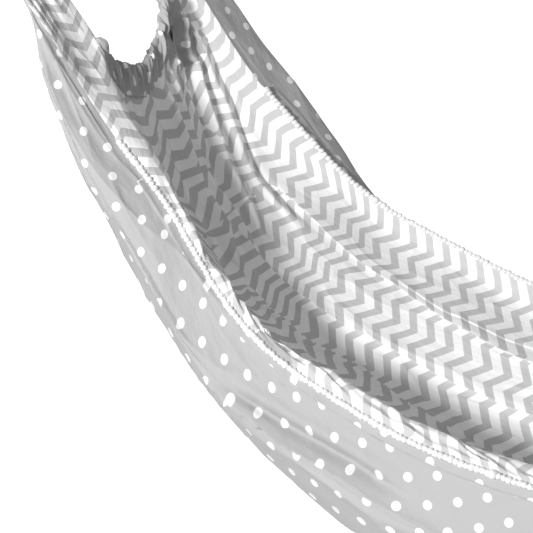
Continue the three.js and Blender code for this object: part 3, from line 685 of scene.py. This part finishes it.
def lining_folds(s, yn):
    a = np.abs(s)
    w = yn * 7.5
    end = smooth(17, 26, a) * smooth(0.66, 0.46, np.abs(yn))
    low = smooth(0.16, 0.0, yn) * smooth(-0.9, -0.75, yn) * smooth(22, 17, a)
    wander = 0.025 * noise(s * 0.3, 1.0, 31) + 0.008 * noise(s * 1.1, 2.0, 32)
    f = 0.045 * noise(s * 0.4, w * 0.6, 21) + 0.05 * creased(noise(s * 0.3 + 9, w * 0.55, 22))
    f = f + 0.035 * creased(noise(s * 0.55 + 0.3 * w, w * 0.8 - 0.2 * s, 28))
    f = f + low * (0.13 * creased(noise(s * 0.5, w * 0.6 + 0.3 * s, 29)) + 0.07 * creased(noise(s * 1.0 - 0.5 * w, w * 0.9, 30)))
    # folds that fan down the end panel from the gathers
    fan = 1 + 0.35 * smooth(29, 17, a)
    e = end_s(yn)
    run = smooth(0.0, 1.6, e - a)                     # flat where it is sewn to the casing
    wob = 0.012 * noise(s * 0.5, 7.0, 37)
    for line, left, right, height, low_s, high_s in END_FOLDS:
        x = yn - lin(line, a) - wob
        lump = np.exp(-(np.where(x < 0, x / left, x / right)) ** 2)
        f = f + height * lump * smooth(low_s - 2.2, low_s + 1.5, a) * smooth(high_s + 0.3, high_s - 1.5, a) * run
    f = f + end * run * (0.12 * noise(s * 0.09 + 4, yn * fan * 6.5 + 40, 23) + 0.07 * creased(noise(s * 0.12, yn * fan * 9.5 + 11, 33)))
    f = f + end * smooth(24, 27.5, a) * 0.07 * noise(s * 0.2, yn * 30 + 7, 24)
    bunch = smooth(26.6, 27.8, a) * smooth(0.36, 0.5, yn) * smooth(0.92, 0.84, yn)
    f = f + bunch * (0.32 * creased(noise(s * 0.8, yn * 13, 38)) + 0.16 * noise(s * 1.6, yn * 20 + s, 39))
    long = smooth(21, 18.5, a)
    for line, up, step, end_s_ in ((FOLD_A, 0.035, 0.06, 18.5), (FOLD_B, 0.05, 0.08, 18.5), (FOLD_C, 0.06, 0.08, 16)):
        x = yn - lin(line, a)
        f = f + smooth(end_s_ + 2.5, end_s_, a) * (up * np.exp(-((x - 0.05) / 0.05) ** 2) - 0.8 * up * np.exp(-((x + 0.05) / 0.035) ** 2) + pleat(x, 0.03, 0.0035, step, 0.0))
    f = f + smooth(12.5, 11, a) * smooth(2.5, 5.5, a) * pleat(yn - lin(FOLD_A, a) - 0.09 + 0.012 * (a - 8) - wander, 0.05, 0.004, 0.055, 0.02)
    # small gathers where the lining rolls over the near rim
    roll = np.exp(-((yn + 0.93) / 0.055) ** 2) * smooth(29, 24, a)
    f = f + roll * (0.15 * noise(s * 1.3, yn * 9, 25) + 0.16 * creased(noise(s * 1.0 + yn * 22, yn * 12, 26))) * smooth(25, 20, a)
    # the far wall hangs in shallow uprights from the rim
    f = f + smooth(0.6, 0.9, yn) * (0.05 * noise(s * 0.7, yn * 3, 27) + 0.03 * creased(noise(s * 1.1, yn * 4, 34)))
    return -U * f * smooth(0, 0.03, 1 - np.abs(yn))


n_lin = normals(P_LIN)
if n_lin[..., 2].mean() < 0:
    n_lin = -n_lin
    flip_lin = True
else:
    flip_lin = False
P_LIN = P_LIN - n_lin * lining_folds(S_LIN, Y_LIN)[..., None]
# near the ends the print follows every fold of the gathered cloth
full = arc(P_LIN, 1) / U
full = full[:, [-1]] - full
full = full - full[:, [NY // 2]] + ARC_LIN[:, [NY // 2]]
ARC_LIN = ARC_LIN + 0.5 * (full - ARC_LIN) * smooth(17, 21, np.abs(S_LIN))
# some of the print is hidden inside each long fold
crumple = np.exp(-((Y_LIN + 0.93) / 0.06) ** 2) * smooth(24, 18, np.abs(S_LIN))
lowest = smooth(0.1, -0.1, Y_LIN) * smooth(-0.9, -0.75, Y_LIN) * smooth(21, 16, np.abs(S_LIN))
du = crumple * (0.16 * noise(S_LIN * 0.8 + Y_LIN * 10, Y_LIN * 6, 45) + 0.05 * noise(S_LIN * 2.0, Y_LIN * 14, 46)) + lowest * 0.10 * noise(S_LIN * 0.8, Y_LIN * 7 + S_LIN * 0.3, 47)
dv = crumple * 0.3 * noise(S_LIN * 0.7 + 4, Y_LIN * 6 - S_LIN * 0.6, 48) + lowest * 0.15 * noise(S_LIN * 0.6 + 9, Y_LIN * 6, 49)
ALONG = np.concatenate([np.zeros((1, NY)), np.cumsum(np.linalg.norm(np.diff(PLAIN_LIN, axis=0), axis=-1), axis=0)], 0) / U
ALONG = ALONG - (ALONG[[NU // 2]] + ALONG[[NU // 2 - 1]]) / 2
EXTRA = (ALONG - S_LIN) * smooth(14, 17, np.abs(S_LIN)) * smooth(-0.5, -0.3, Y_LIN)
EXTRA = blur(EXTRA, 30, 1)
EXTRA = (EXTRA - EXTRA[:, [-1]]) * smooth(-0.52, -0.36, Y_LIN)
UV_LIN = np.stack([S_LIN + EXTRA + du, ARC_LIN + dv], -1)


def to_corners(grid):
    return np.stack([grid[:-1, :-1], grid[1:, :-1], grid[1:, 1:], grid[:-1, 1:]], 2)


UVC = to_corners(UV_LIN)
mid_y = (yn_line[1:] + yn_line[:-1]) / 2
LU, LY = np.meshgrid(mid_u, mid_y, indexing="ij")
a_c = np.abs(LU)
hid_a = (LY < lin(FOLD_A, a_c)) & (a_c < 20)
hid_b = (LY < lin(FOLD_B, a_c)) & (a_c < 19)
hid_c = (LY < lin(FOLD_C, a_c)) & (a_c < 17)
UVC = UVC + np.stack([0.16 * hid_a - 0.3 * hid_b + 0.35 * hid_c, 0.55 * hid_a + 0.75 * hid_b + 0.5 * hid_c], -1)[:, :, None, :]
# the outer cloth rolls over the near rim for a short way
patch = ((LU > -15.0 + 9 * (LY + 1)) & (LU < -12.2 - 14 * (LY + 1)) & (LY < -0.9)).astype(int)
# and the dotted cloth of the casing runs on up the far legs
patch[(np.abs(LU) > 27.3 + 0.5 * np.abs(LY - 0.7)) & (LY > 0.42) & (LY < 0.86)] = 1
lin_panels = {
    "lining_near_cloth": (LY < -0.8, "lining_side_near"),
    "lining_far_cloth": (LY > 0.8, "lining_side_far"),
    "lining_floor_cloth": ((np.abs(LY) < 0.8) & (np.abs(LU) < 20), "lining_floor"),
    "lining_head_cloth": ((np.abs(LY) < 0.8) & (LU < -20), "lining_head_panel"),
    "lining_foot_cloth": ((np.abs(LY) < 0.8) & (LU > 20), "lining_foot_panel"),
}
for name, (mask, node) in lin_panels.items():
    ob = put_sheet(name, node, mask, P_LIN, UVC, [ZIG, DOTS], patch, flip_lin)

# ------------------------------------------------------------------ gathered elastic casings
def casing(name, sign, seed):
    """A ring of dotted cloth round the elastic, gathered into deep uneven pleats."""
    n, m = 760, 52
    top_y = 0.60
    yn = np.linspace(-0.56, top_y, n)[:, None]
    ph = np.linspace(0, 2 * np.pi, m, endpoint=False)[None, :]
    x = yn * 7.5
    top = edge_top(np.minimum(np.abs(yn), 0.535)) + 1.6 * np.maximum(0, np.abs(yn) - 0.535) / 0.1
    tall = 0.78 - 0.16 * smooth(0.25, 0.5, yn) - 0.1 * smooth(-0.3, -0.52, yn)     # half height of the band
    edge = 0.05 * noise(x * 3.4, 2.0, seed + 2) + 0.05 * creased(noise(x * 6.0, 4.0, seed + 5))
    c = top - tall + edge
    # both ends are turned in and sewn shut
    shut = np.sqrt(np.clip(np.minimum(yn + 0.56, top_y - yn) / 0.035, 0.004, 1))
    s = c + tall * shut * np.cos(ph)
    up = np.cos(ph)
    # pleats run across the band, tightest along the elastic
    warp = 0.22 * noise(x * 1.5 + 0 * ph, up * 1.2, seed + 6)
    tight = 0.55 + 0.45 * smooth(0.05, 0.35, yn) + 0.3 * smooth(-0.1, -0.4, yn)
    g1 = creased(noise(x * 2.6 + warp * 2, 0.5 * up + 0 * x, seed))
    g2 = creased(noise(x * 5.6 + warp * 5, 0.8 * up + 0 * x, seed + 1))
    g3 = noise(x * 11.0 + warp * 6, 1.6 * up + 0 * x, seed + 3)
    g = (0.30 * g1 + 0.20 * g2 + 0.07 * g3) * tight
    g = g * (0.35 + 0.65 * smooth(-1.0, 0.6, up))
    thick = 0.17 + 0.05 * np.cos(2 * ph)
    off = (thick * np.sin(ph) + g * np.where(np.sin(ph) < 0, 1.0, 0.6)) * shut
    yy = yn + 0 * ph
    sgn = -1.0 if sign < 0 else 1.0
    base = lining_pt(sgn * s, yy)
    nb = lining_normal(sgn * s, yy)
    p = base - nb * (U * off)[..., None]
    run = np.concatenate([[0], np.cumsum(np.linalg.norm(np.diff(p[:, 0], axis=0), axis=-1))]) / U
    uv = np.stack([(run * 1.25)[:, None] + 0.5 * warp, tall * ph * 0.9 + 0.25 + 0 * run[:, None]], -1)
    verts = to_world(p)
    f = grid_faces(n, m, wrap=True)
    corner = uv.reshape(-1, 2)[f.ravel()].reshape(-1, 4, 2)
    last = (np.arange(len(f)) % m) == m - 1
    corner[last, 2:, 1] += (np.repeat(tall[:-1, 0], m)[last] * 2 * np.pi * 0.9)[:, None]
    # close both ends
    c0, c1 = len(verts), len(verts) + 1
    verts = np.concatenate([verts, verts[:m].mean(0, keepdims=True), verts[(n - 1) * m:].mean(0, keepdims=True)])
    caps = []
    for j in range(0, m, 2):
        caps.append([j, (j + 1) % m, (j + 2) % m, c0])
        k = (n - 1) * m
        caps.append([k + (j + 2) % m, k + (j + 1) % m, k + j, c1])
    f = np.concatenate([f, np.array(caps)])
    corner = np.concatenate([corner.reshape(-1, 2), np.repeat(uv.reshape(-1, 2)[:1], 4 * len(caps), 0)]).reshape(-1, 4, 2)
    a = verts[f[:, 1]] - verts[f[:, 0]]
    b = verts[f[:, 3]] - verts[f[:, 0]]
    nrm = np.cross(a, b)
    mid = verts[f].mean(1)
    axis = np.repeat(to_world(p).reshape(n, m, 3).mean(1), m, 0)
    d = (nrm[:(n - 1) * m] * (mid[:(n - 1) * m] - axis[:(n - 1) * m])).sum()
    if d < 0:
        f = f[:, ::-1]
        corner = corner[:, ::-1]
    return mesh_from(name, verts, f, corner.reshape(-1, 2), [DOTS])


for tag, sign, seed in (("head", -1, 41), ("foot", 1, 51)):
    ob = casing(f"casing_{tag}_cloth", sign, seed)
    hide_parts(f"elastic_casing_{tag}")
    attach(ob, "sling")

# ------------------------------------------------------------------ legs
def leg(name, sx, sy, seed):
    """A gathered tube of outer cloth and lining. sx -1 head, sy -1 near."""
    K = 44
    w_out = np.linspace(1, 0, K)                       # rim to inner edge, outer face
    w_in = np.linspace(0, 1, K)[1:-1]                  # inner edge to rim, lining face
    ns = 110
    # a short collar is tucked between the outer cloth and the lining
    s = np.concatenate([[28.0, 28.7, 29.3, 29.9, 30.3, 30.6], np.linspace(S_LEG, 38.0, ns - 22), np.linspace(38.0, 39.25, 23)[1:]])[:, None]
    ns = len(s)
    yn_o = 0.52 + 0.48 * w_out
    tt = np.linspace(0, 1, 400)
    t_of = np.interp(1 - yn_o, knots(SEC_IN, tt), tt)
    # more samples round the outer bulge: the outer face is laid out over t
    t_in = np.interp(0.48, knots(SEC_IN, tt), tt)
    t_line = np.linspace(0, t_in, K)
    v_o = sy * (1 - t_line)[None, :]
    V_o = v_o + 0 * s
    src_o = outer_pt(-s + 0 * v_o, V_o)
    y_i = sy * (0.52 + 0.48 * w_in)[None, :]
    Y_i = y_i + 0 * s
    src_i = lining_pt(-s + 0 * y_i, Y_i)
    sg = -1.0 if sx < 0 else 1.0
    row = 0 if sx < 0 else -1
    src = np.concatenate([src_o, src_i], 1)
    w = np.concatenate([w_out, w_in])[None, :]
    face = np.concatenate([np.ones(K), -np.ones(K - 2)])[None, :]
    r = rim(s)
    k = smooth(31.2, 36.8, s)
    ww = 2 * w - 1
    bell = np.sqrt(np.maximum(0, 1 - np.abs(ww) ** 2.6))
    half = 6.0 + 3.0 * noise(s * 0.3, 1.0, seed) * 0.5 + 12.0 * smooth(37.2, 39.2, s)
    d = BAR_DEPTH + face * half * bell
    y = sy * (81 + 61 * w + 0 * s)
    x = -(r[0] + np.sin(r[3]) * d)
    tgt = np.stack([x, y, r[2] - np.cos(r[3]) * d], -1)
    p = src * (1 - k[..., None]) + tgt * k[..., None]
    n = normals(p)
    c = p.mean(1, keepdims=True)
    if (n * (p - c)).sum() < 0:
        n = -n
    m = p.shape[1]
    ang = np.arange(m)[None, :] / m
    # gathers run up the leg; they tighten towards the bar
    side_f = np.concatenate([outer_folds(sg * s + 0 * V_o, V_o), -lining_folds(sg * s + 0 * Y_i, Y_i)], 1)
    p = p + n * (side_f * (1 - k) * np.concatenate([np.ones(K), np.full(K - 2, 1.0)])[None, :])[..., None]
    fold = 0.10 * creased(noise(s * 0.13 + 2, np.abs(w - 0.5) * 0 + w * 8 + face * 20, seed + 1)) + 0.05 * noise(s * 0.25, w * 15 + face * 9, seed + 2)
    amp = smooth(30.9, 33.5, s) * (0.8 + 0.4 * k)
    p = p + n * (U * fold * amp * smooth(0, 0.06, w) * smooth(1, 0.94, w))[..., None]
    p = p - n * (1.8 * smooth(30.85, 30.55, s) + 0 * w)[..., None]
    along = s + 0 * ang
    arc_o = np.interp(v_o[0], v_line, ARC_OUT[row])[None, :] + 0 * s
    arc_i = np.interp(y_i[0], yn_line, ARC_LIN[row])[None, :] + 0 * s
    uv_o = np.stack([sg * along[:, :K] + 0.35, arc_o], -1)
    uv_i = np.stack([sg * along[:, K:], arc_i], -1)
    uv = np.concatenate([uv_o, uv_i], 1)
    if sx > 0:
        p = p * np.array([-1, 1, 1])
    f = grid_faces(ns, m, wrap=True)
    corner = uv.reshape(-1, 2)[f.ravel()].reshape(-1, 4, 2)
    j = (np.arange(len(f)) % m)
    mat = np.where(j < K - 1, 0, 1)
    # the dotted cloth turns over the inner edge
    wrap = (j >= K - 1) & (j < K - 1 + int((0.6 if sy > 0 else 0.04) * (K - 2)))
    mat = np.where(wrap, 0, mat)
    # the column where the outer face meets the lining at the rim takes the lining's own print
    last = j == m - 1
    corner[last, 2, 1] = corner[last, 1, 1] + 0.1
    corner[last, 3, 1] = corner[last, 0, 1] + 0.1
    if (sx < 0) == (sy < 0):
        f = f[:, ::-1]
        corner = corner[:, ::-1]
    return mesh_from(name, to_world(p), f, corner.reshape(-1, 2), [DOTS, ZIG], mat)


for tag, sx in (("head", -1), ("foot", 1)):
    for side, sy in (("near", -1), ("far", 1)):
        ob = leg(f"leg_{tag}_{side}_cloth", sx, sy, 60 + 7 * (sx + 1) + 3 * (sy + 1))
        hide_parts(f"leg_{tag}_{side}")
        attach(ob, "sling")

# ------------------------------------------------------------------ tunnels round the bars
r_bar = rim(np.array([BAR_S]))
th_bar = float(r_bar[3][0])
BAR_X = float(-(r_bar[0][0] + math.sin(th_bar) * BAR_DEPTH))
BAR_Z = float(r_bar[2][0] - math.cos(th_bar) * BAR_DEPTH)


def sleeve(name, sx, sy, seed):
    n, m = 90, 96
    q = np.linspace(0, 1, n)[:, None]
    ph = np.linspace(0, 2 * np.pi, m, endpoint=False)[None, :]
    # profile: outside from one end to the other, then back inside
    yl = np.where(q < 0.62, 80 + 63 * q / 0.62, 143 - 63 * (q - 0.62) / 0.38)
    outside = q < 0.62
    e = np.minimum(q / 0.62, 1 - q / 0.62)
    roll = np.sqrt(np.clip(e / 0.05, 0, 1))
    pucker = 0.75 * creased(noise(ph * 5.5 / np.pi * 2, yl * 0.035, seed)) + 0.45 * noise(ph * 9 / np.pi * 2, yl * 0.08, seed + 1)
    w_end = smooth(0, 0.2, ph / (2 * np.pi)) * smooth(1, 0.8, ph / (2 * np.pi))
    r = np.where(outside, 16.9 + 1.7 * roll + pucker * roll * w_end * 0.8, 16.6)
    yy = sy * yl + 0 * ph
    x = r * np.cos(ph)
    z = r * np.sin(ph)
    p = np.stack([BAR_X + x, yy, BAR_Z + z], -1)
    if sx > 0:
        p = p * np.array([-1, 1, 1])
    uv = np.stack([yl / U + 0 * ph + 0.6, ph * 18 / U + 0 * yl], -1)
    f = grid_faces(n, m, wrap=True)
    corner = uv.reshape(-1, 2)[f.ravel()].reshape(-1, 4, 2)
    j = np.arange(len(f)) % m
    last = j == m - 1
    corner[last, 2:, 1] += 2 * np.pi * 18 / U
    if (sx < 0) == (sy < 0):
        f = f[:, ::-1]
        corner = corner[:, ::-1]
    return mesh_from(name, to_world(p), f, corner.reshape(-1, 2), [DOTS])


for tag, sx in (("head", -1), ("foot", 1)):
    for side, sy in (("near", -1), ("far", 1)):
        ob = sleeve(f"bar_tunnel_{tag}_{side}", sx, sy, 80 + 5 * (sx + 1) + 2 * (sy + 1))
        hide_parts(f"bar_sleeve_{tag}_{side}")
        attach(ob, "sling")

# ------------------------------------------------------------------ bobble trims
def ico(level):
    import bmesh
    bm = bmesh.new()
    bmesh.ops.create_icosphere(bm, subdivisions=level, radius=1)
    v = np.array([x.co[:] for x in bm.verts])
    f = np.array([[y.index for y in x.verts] for x in bm.faces])
    bm.free()
    return v, f


def trim(name, side, seed):
    rng = np.random.RandomState(seed)
    ball, tri = ico(3)
    variants = []
    for k in range(6):
        d = 1 + 0.09 * noise(ball[:, 0] * 3.1 + 10 * k, ball[:, 1] * 3.1 + ball[:, 2] * 2.3, seed + k) + 0.05 * noise(ball[:, 0] * 7 + 5 * k, ball[:, 2] * 7 + ball[:, 1] * 5, seed + 10 + k)
        variants.append(ball * d[:, None])
    top = 26.3 if side < 0 else 24.3
    s = -top
    verts, faces, count = [], [], 0
    while s < top:
        pitch = (6.5 + rng.uniform(-0.6, 0.6)) / U
        s += pitch
        size = (4.25 if side < 0 else 3.95) * (1 + rng.uniform(-0.12, 0.12))
        if rng.rand() < 0.03:
            size *= 1.35
        r = rim(np.array([s]))
        c = place(abs(s), r, -1.6 + rng.uniform(-0.5, 0.5), side * (r[1] + 0.9 + rng.uniform(-0.5, 0.5)), np.array([s]))[0]
        q = rng.normal(size=4)
        q /= np.linalg.norm(q)
        w, x, y, z = q
        R = np.array([[1 - 2 * (y * y + z * z), 2 * (x * y - w * z), 2 * (x * z + w * y)], [2 * (x * y + w * z), 1 - 2 * (x * x + z * z), 2 * (y * z - w * x)], [2 * (x * z - w * y), 2 * (y * z + w * x), 1 - 2 * (x * x + y * y)]])
        b = variants[rng.randint(6)] @ R.T * size * np.array([1, 1, 0.93]) + c
        verts.append(b)
        faces.append(tri + count)
        count += len(b)
    balls = mesh_from(name, to_world(np.concatenate(verts)), np.concatenate(faces), None, [YARN])
    # the woven tape that carries the bobbles, folded over the rim
    n, m = 900, 12
    ss = np.linspace(-top - 0.05, top + 0.05, n)[:, None]
    ph = np.linspace(0, 2 * np.pi, m, endpoint=False)[None, :]
    r = rim(ss)
    wob = 0.25 * noise(ss * 2.0, 0.0, seed + 30)
    d = -0.2 + wob - 1.1 * np.cos(ph)
    y = side * (r[1] + 0.3 + 0.95 * np.sin(ph) + 0.12 * np.cos(ss * U / 6.3 * 2 * np.pi))
    p = place(np.abs(ss), r, d + 0 * y, y, ss + 0 * ph)
    f = grid_faces(n, m, wrap=True)
    if side > 0:
        f = f[:, ::-1]
    tape = mesh_from(name + "_tape", to_world(p), f, None, [YARN])
    tape.parent = balls
    return balls


for side, sy in (("near", -1), ("far", 1)):
    ob = trim(f"bobbles_{side}", sy, 100 + 20 * (sy + 1))
    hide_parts(f"bobble_trim_{side}")
    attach(ob, "sling")

# ------------------------------------------------------------------ CAD pieces that stay
def dress(node, mat):
    ob = frame["nodes"].get(node)
    if ob is None:
        return
    targets = [ob] if ob.type == "MESH" else [c for c in ob.children_recursive if c.type == "MESH"]
    for o in targets:
        if not o.material_slots:
            o.data.materials.append(mat)
        for slot in o.material_slots:
            slot.material = mat


for tag in ("head", "foot"):
    dress(f"spreader_bar_{tag}", BEECH)
    for side in ("near", "far"):
        dress(f"end_knob_{tag}_{side}", BEECH)
    for n in ("eye_bolt", "washer", "lock_nut", "gate_pin", "gate_spring"):
        dress(f"{n}_{tag}", ZINC)
    for n in ("carabiner_body", "carabiner_gate"):
        dress(f"{n}_{tag}", STEEL)
    dress(f"elastic_band_{tag}", ELASTIC)

# ------------------------------------------------------------------ room
def room():
    m, tree, b = principled("pale_floor", (0.93, 0.93, 0.93), 0.9)
    b.inputs["Emission Color"].default_value = (1, 1, 1, 1)
    b.inputs["Emission Strength"].default_value = 0.95
    me = bpy.data.meshes.new("floor")
    z = -1.75
    q = 9
    me.from_pydata([(-q, -q, z), (q, -q, z), (q, q, z), (-q, q, z)], [], [(0, 1, 2, 3)])
    me.materials.append(m)
    ob = bpy.data.objects.new("floor", me)
    bpy.context.scene.collection.objects.link(ob)
    ob.visible_diffuse = False
    world = bpy.data.worlds.new("room")
    bpy.context.scene.world = world
    world.use_nodes = True
    bg = world.node_tree.nodes["Background"]
    bg.inputs[0].default_value = (1, 1, 1, 1)
    bg.inputs[1].default_value = 0.17

    def light(name, loc, aim, size, watts):
        d = bpy.data.lights.new(name, "AREA")
        d.shape = "DISK"
        d.size = size
        d.energy = watts
        o = bpy.data.objects.new(name, d)
        o.location = loc
        o.rotation_euler = (Vector(aim) - Vector(loc)).to_track_quat("-Z", "Y").to_euler()
        bpy.context.scene.collection.objects.link(o)
    light("key", (-0.6, -2.7, 0.86), (-0.4, 0, -0.6), 0.5, 93)
    light("top", (0.5, -1.3, 2.0), (-0.6, 0, -0.4), 0.5, 12)
    light("low", (-0.7, -1.3, -1.6), (-0.4, -0.1, -0.7), 1.4, 7)
    light("back", (-0.8, 2.6, -0.3), (-0.4, 0.2, -0.5), 1.6, 16)


room()
